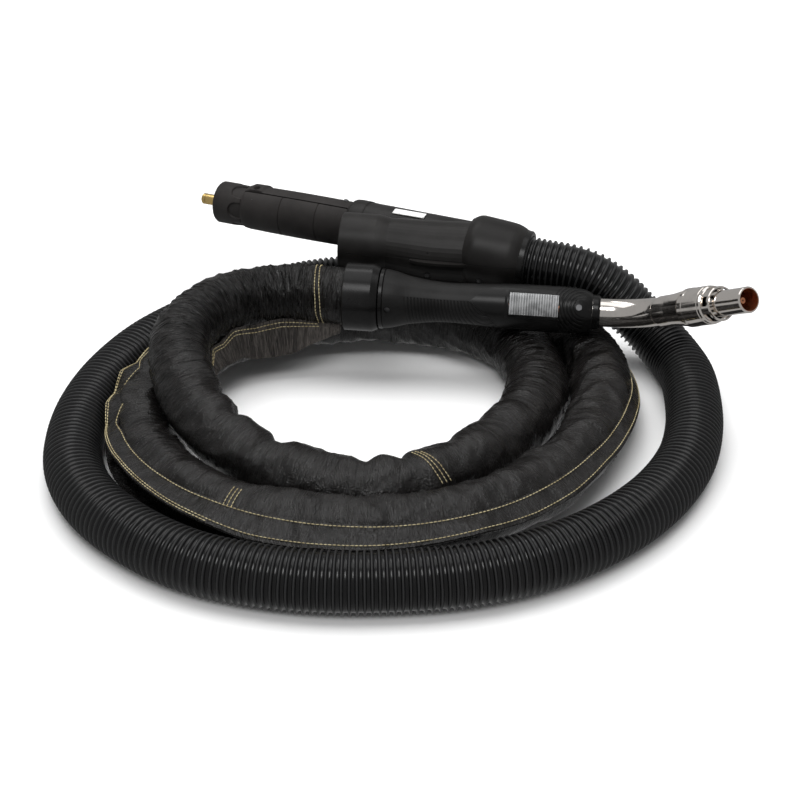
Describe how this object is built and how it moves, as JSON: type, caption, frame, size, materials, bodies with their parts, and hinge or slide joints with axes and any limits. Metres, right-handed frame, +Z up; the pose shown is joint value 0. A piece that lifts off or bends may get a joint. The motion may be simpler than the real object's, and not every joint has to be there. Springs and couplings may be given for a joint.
{
  "type": "mig welding torch",
  "caption": "Fume-extraction MIG torch: Y housing with plug and suction port, coiled ribbed hose, leather sleeve, swivelling handle with trigger, bent neck and nozzle.",
  "frame": {"origin": "centre of the plug nut's front face, on the contact pin's axis", "axes": "+X to the right along the coil, +Y away from the viewer, +Z up; the torch lies coiled on a floor 81 mm below the origin"},
  "size_m": [0.5988, 0.5863, 0.1594],
  "materials": {
    "plug_black": "fine grained black plastic",
    "housing_black": "fine grained black plastic",
    "gloss_black": "semi-gloss black plastic",
    "hose_black": "glossy corrugated plastic",
    "sleeve_leather": "black grained leather",
    "cable_rubber": "matt black rubber",
    "brass": "turned brass",
    "copper": "copper",
    "nickel": "nickel plate",
    "steel": "steel screws",
    "liner": "grey plastic",
    "trigger_grey": "light grey translucent plastic",
    "trigger_red": "red plastic",
    "insulator": "brown insulating plastic"
  },
  "bodies": {
    "hose_package": {"contact_pin": "brass", "plug_body": "liner", "plug_shell_front": "plug_black", "plug_shell_back": "plug_black", "plug_screws": "steel", "housing_upper": "housing_black", "housing_lower": "housing_black", "housing_screws": "steel", "suction_socket": "liner", "hose_clamp_ring": "gloss_black", "suction_hose": "hose_black", "leather_sleeve": "sleeve_leather", "power_cable": "cable_rubber", "swivel_cuff": "gloss_black"},
    "nut": {"plug_nut": "gloss_black"},
    "pilot_upper": {"pilot_pin_upper": "brass"},
    "pilot_lower": {"pilot_pin_lower": "brass"},
    "gun": {"swivel_stub": "liner", "swivel_ring": "gloss_black", "handle_shell_left": "plug_black", "handle_shell_right": "plug_black", "handle_screws": "steel", "trigger_housing": "gloss_black", "trigger_pivot": "steel", "micro_switch": "liner", "cable_coupler": "brass", "core_clamp": "liner", "neck_lock_ring": "gloss_black", "neck_jacket": "nickel", "neck_core": "copper", "suction_shroud": "nickel", "nozzle_insulator": "insulator", "gas_diffuser": "brass", "contact_tip": "copper", "gas_nozzle": "nickel"},
    "trigger": {"trigger": "trigger_grey"},
    "plunger": {"switch_plunger": "trigger_red"},
    "airflow_ring": {"airflow_ring": "nickel"}
  },
  "joints": [
    {"name": "plug_nut_turn", "type": "hinge", "parent": "hose_package", "child": "nut", "pos_m": [0.02448, -0.01137, 0.00078], "axis": [0.9065, -0.4211, 0.0288], "continuous": true},
    {"name": "pilot_upper_press", "type": "slide", "parent": "hose_package", "child": "pilot_upper", "axis": [0.9065, -0.4211, 0.0288], "range_m": [0, 0.0025], "stiffness_N_per_m": 400, "springref_m": -0.001},
    {"name": "pilot_lower_press", "type": "slide", "parent": "hose_package", "child": "pilot_lower", "axis": [0.9065, -0.4211, 0.0288], "range_m": [0, 0.0025], "stiffness_N_per_m": 400, "springref_m": -0.001},
    {"name": "gun_swivel", "type": "hinge", "parent": "hose_package", "child": "gun", "pos_m": [0.15578, -0.19431, -0.006], "axis": [0.9912, -0.1323, 0], "range_deg": [-120, 40]},
    {"name": "trigger_press", "type": "hinge", "parent": "gun", "child": "trigger", "pos_m": [0.31987, -0.22869, 0.00333], "axis": [-0.0796, -0.5965, -0.7986], "range_deg": [0, 4], "stiffness_Nm_per_rad": 1.5, "springref_deg": -2.86},
    {"name": "switch_plunger_press", "type": "slide", "parent": "gun", "child": "plunger", "axis": [0.1056, 0.7916, -0.6018], "range_m": [0, 0.0021]},
    {"name": "airflow_ring_turn", "type": "hinge", "parent": "gun", "child": "airflow_ring", "pos_m": [0.43876, -0.29078, 0.03786], "axis": [0.4667, -0.7302, 0.4989], "range_deg": [0, 15]}
  ],
  "couplings": [
    {"joint": "switch_plunger_press", "follows": "trigger_press", "m_per_rad": 0.03}
  ]
}
